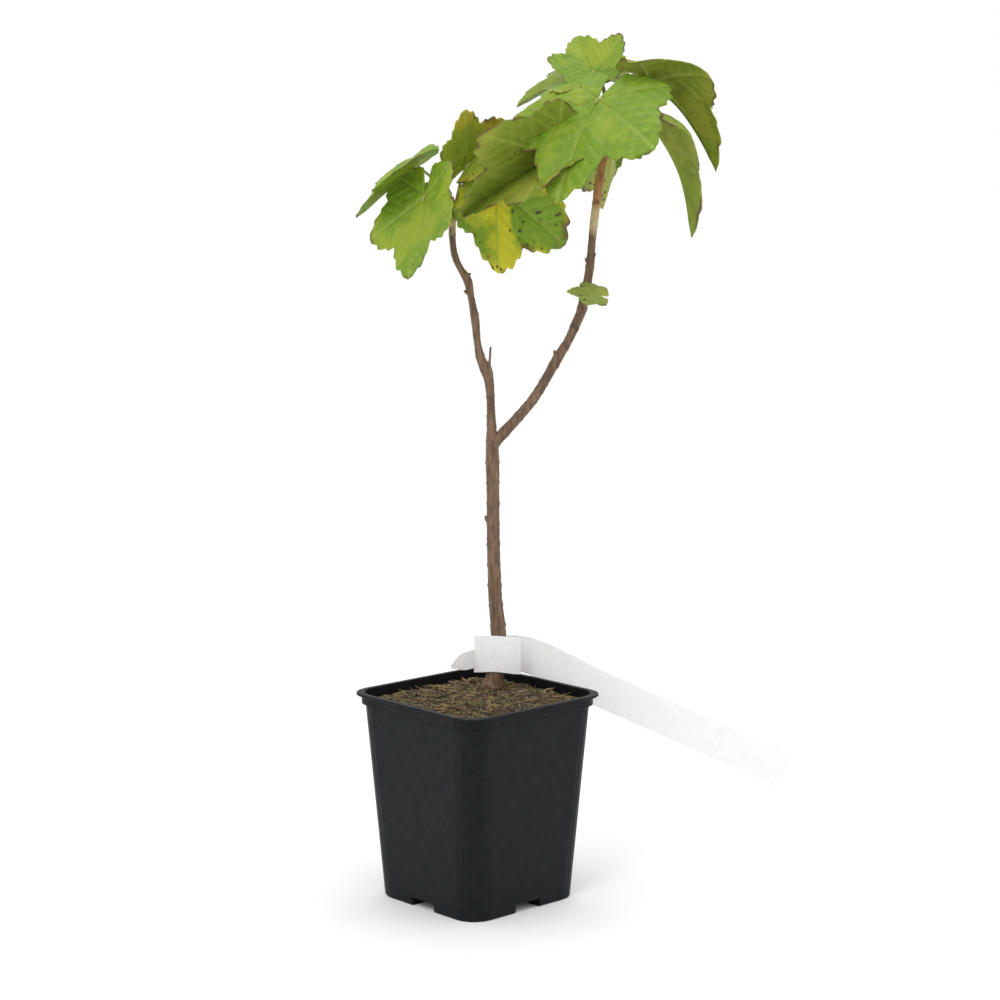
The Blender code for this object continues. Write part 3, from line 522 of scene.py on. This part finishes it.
def bark_look():
    """Grey-brown bark that turns cream and then red-brown towards the stems' tips."""
    look = Look("bark_brown", 0.62)
    height = look.nodes.new("ShaderNodeSeparateXYZ")
    look.links.new(look.place, height.inputs["Vector"])
    z = look.maths("ADD", height.outputs["Z"], look.maths("MULTIPLY", look.noise(BAND_WAVES, 3), 0.006))
    streaks = look.noise(STREAK_WAVES, 5, STREAK_STRETCH)
    lower = look.mix(look.ramp(streaks, 0.35, 0.65), (0.085, 0.046, 0.025), (0.20, 0.120, 0.066))
    upper = look.mix(look.ramp(streaks, 0.38, 0.62), (0.30, 0.125, 0.035), (0.42, 0.22, 0.07))
    cream = look.mix(look.ramp(streaks, 0.3, 0.7), (0.50, 0.36, 0.19), (0.58, 0.47, 0.28))
    colour = look.mix(look.ramp(z, *CREAM_BAND), lower, cream)
    colour = look.mix(look.ramp(z, *RED_BAND), colour, upper)
    dark = look.maths("MULTIPLY", look.ramp(look.noise(DARK_AREAS, 3), 0.60, 0.70), 0.75)
    colour = look.mix(dark, colour, (0.06, 0.03, 0.016))
    return look.done(colour, streaks, 0.0005, 0.7)


def speckled(name, first, second, scale, roughness, height=0.0003, strength=0.5, specular=0.5):
    """Two colours in a fine grain that also gives the bump."""
    look = Look(name, roughness, specular)
    grain = look.noise(scale, 6)
    return look.done(look.mix(look.ramp(grain, 0.35, 0.65), first, second), grain, height, strength)


def add_leaves(name, leaves, nodes, stalks):
    build = Build()
    for leaf in leaves:
        add_leaf(build, stalks, leaf, LOOK_ORDER.index(leaf.look))
    build.make(name, [LEAF_LOOKS[key] for key in LOOK_ORDER], nodes, BLADE_THICK)


def add_foliage():
    stalks = Build()
    add_leaves("leaves_left", LEFT_LEAVES, ("foliage_left",), stalks)
    add_leaves("leaves_right", RIGHT_LEAVES, ("foliage_right",), stalks)
    add_leaves("leaf_at_bud", BUD_LEAVES, ("foliage_bud_leaf",), stalks)
    look = Look("stalk_green", 0.5)
    grain = look.noise(200, 3)
    green = look.done(look.mix(grain, (0.28, 0.34, 0.07), (0.40, 0.36, 0.12)), grain)
    stalks.make("leaf_stalks", [green])


def add_bark():
    """One skin over the trunk and boughs, with the snag, the bud leaf's stem and the buds."""
    wood = Build()
    for limb in (TRUNK, LEFT, RIGHT):
        sweep(wood, limb_path(limb), LIMB_SIDES, rough=0.07, scars=0.10)
    sweep(wood, limb_path(SNAG), SNAG_SIDES, rough=0.12)
    sweep(wood, limb_path(BUD_STEM), TWIG_SIDES, rough=0.06)
    for place, direction, length, half in BUDS:
        way = Vector(direction).normalized()
        start = Vector(place) - way * length * BUD_SUNK
        bud = [(start + way * length * along, half * wide) for along, wide in BUD_SHAPE]
        sweep(wood, smooth_path(bud, BUD_SPACING), TWIG_SIDES, rough=0.08)
    wood.make("bark_skin", [bark_look()],
              ("trunk", "bough_left_lower", "bough_left_upper", "bough_right_lower", "bough_right_upper"))


def add_label():
    label = Build()
    add_band(label, LABEL_PATH, [LABEL_WIDTH] * len(LABEL_PATH))
    add_band(label, TAIL_PATH, TAIL_WIDTHS)
    white = speckled("label_film_white", (0.84, 0.84, 0.84), (0.88, 0.88, 0.88), 300, 0.38, 0.00005, 0.2)
    film = label.make("label_film", [white], ("plant_label",))
    film.data.set_sharp_from_angle(angle=math.radians(40))


def add_crumb(build, place):
    size = DRAW.uniform(*CRUMB_SIZES)
    path = [(place + Vector((0, 0, -size * 0.4)), size * 0.5), (place, size),
            (place + Vector((0, 0, size * 0.7)), size * 0.45)]
    sweep(build, path, CRUMB_SIDES, DRAW.choice((0, 0, 1)), rough=0.35)


def add_fibre(build, compost, place):
    """A bent fibre from the place, left out where its far end would pass the compost's edge."""
    turn, length = DRAW.uniform(0, 2 * math.pi), DRAW.uniform(*FIBRE_LENGTHS)
    way = Vector((math.cos(turn), math.sin(turn), DRAW.uniform(*FIBRE_RISES)))
    bend = Vector((-way.y, way.x, 0.3)) * length * DRAW.uniform(*FIBRE_BENDS)
    radius = DRAW.uniform(*FIBRE_RADII)
    path = [(place, radius * 0.6), (place + way * length * 0.5 + bend, radius),
            (place + way * length, radius * 0.4)]
    far = AXIS + path[-1][0]
    if compost.ray_cast(Vector((far.x, far.y, RIM + CAST_ABOVE)), DOWN)[0]:
        sweep(build, smooth_path(path, length / 5), FIBRE_SIDES, DRAW.choice((1, 2, 2, 3, 0)))


def add_compost(compost):
    """Loose fibres and crumbs strewn over the compost."""
    build = Build()
    reach = (POT_HIGH[0] - POT_LOW[0]) / 2
    made = 0
    while made < FIBRES + CRUMBS:
        x, y = DRAW.uniform(-reach, reach), DRAW.uniform(-reach, reach)
        hit, place, _, _ = compost.ray_cast(AXIS + Vector((x, y, RIM + CAST_ABOVE)), DOWN)
        if not hit or place.z < RIM - COMPOST_DROP:
            continue
        made += 1
        if made <= CRUMBS:
            add_crumb(build, place - AXIS)
        else:
            add_fibre(build, compost, place - AXIS)
    looks = [speckled("compost_dark", (0.035, 0.022, 0.014), (0.08, 0.055, 0.035), 900, 0.95),
             speckled("compost_brown", (0.10, 0.065, 0.035), (0.19, 0.13, 0.075), 900, 0.9),
             speckled("compost_tan", (0.20, 0.135, 0.055), (0.36, 0.26, 0.12), 900, 0.9),
             speckled("compost_olive", (0.12, 0.12, 0.04), (0.20, 0.19, 0.07), 900, 0.9)]
    build.make("compost_fibres", looks)


def dress_pot(pot, compost):
    """Gives the two solids that stay in view their own materials."""
    black = speckled("pot_black", (0.0045, 0.005, 0.0062), (0.0085, 0.009, 0.0108), 260, 0.50,
                     0.00008, 0.35, specular=0.14)
    bed = speckled("compost_bed", (0.03, 0.019, 0.012), (0.12, 0.085, 0.045), 700, 0.95, 0.001, 1.0)
    for node, look in ((pot, black), (compost, bed)):
        node.data.materials.clear()
        node.data.materials.append(look)


def add_floor():
    """A pale floor that curves up into a wall behind the plant."""
    profile = [(FLOOR_FRONT, 0.0), (FLOOR_BACK, 0.0)]
    for step in range(1, CURVE_STEPS + 1):
        angle = math.radians(90 * step / CURVE_STEPS)
        profile.append((FLOOR_BACK + CURVE_RADIUS * math.sin(angle), CURVE_RADIUS * (1 - math.cos(angle))))
    profile.append((FLOOR_BACK + CURVE_RADIUS, WALL_TOP))
    mesh = bpy.data.meshes.new("studio_floor")
    mesh.from_pydata([(x, y, z) for y, z in profile for x in (-FLOOR_HALF, FLOOR_HALF)], [],
                     [(2 * i, 2 * i + 1, 2 * i + 3, 2 * i + 2) for i in range(len(profile) - 1)])
    mesh.shade_smooth()
    floor = bpy.data.objects.new("studio_floor", mesh)
    bpy.context.scene.collection.objects.link(floor)
    white = speckled("studio_white", (0.96, 0.96, 0.96), (0.97, 0.97, 0.97), 3, 0.8, 0.0001, 0.05)
    floor.data.materials.append(white)


def add_lights():
    world = bpy.data.worlds.new("studio_air")
    bpy.context.scene.world = world
    world.use_nodes = True
    world.node_tree.nodes["Background"].inputs["Color"].default_value = (1, 1, 1, 1)
    world.node_tree.nodes["Background"].inputs["Strength"].default_value = 1.0
    for name, place, watts, size in LIGHTS:
        light = bpy.data.lights.new(name, "AREA")
        light.energy, light.size = watts, size
        lamp = bpy.data.objects.new(name, light)
        lamp.location = place
        lamp.rotation_euler = (LIGHTS_AIM - Vector(place)).to_track_quat("-Z", "Y").to_euler()
        bpy.context.scene.collection.objects.link(lamp)


def add_camera():
    camera = bpy.data.objects.new("camera", bpy.data.cameras.new("camera"))
    camera.data.lens, camera.data.sensor_width = LENS, SENSOR
    camera.location = AXIS + Vector(CAMERA_PLACE)
    camera.rotation_euler = (math.radians(90 - CAMERA_TILT), 0, 0)
    bpy.context.scene.collection.objects.link(camera)
    bpy.context.scene.camera = camera
    bpy.context.scene.view_settings.view_transform = "Standard"


def main():
    pot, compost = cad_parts["pot"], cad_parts["compost"]
    add_foliage()
    add_bark()
    add_label()
    add_compost(compost)
    dress_pot(pot, compost)
    add_floor()
    add_lights()
    add_camera()


main()
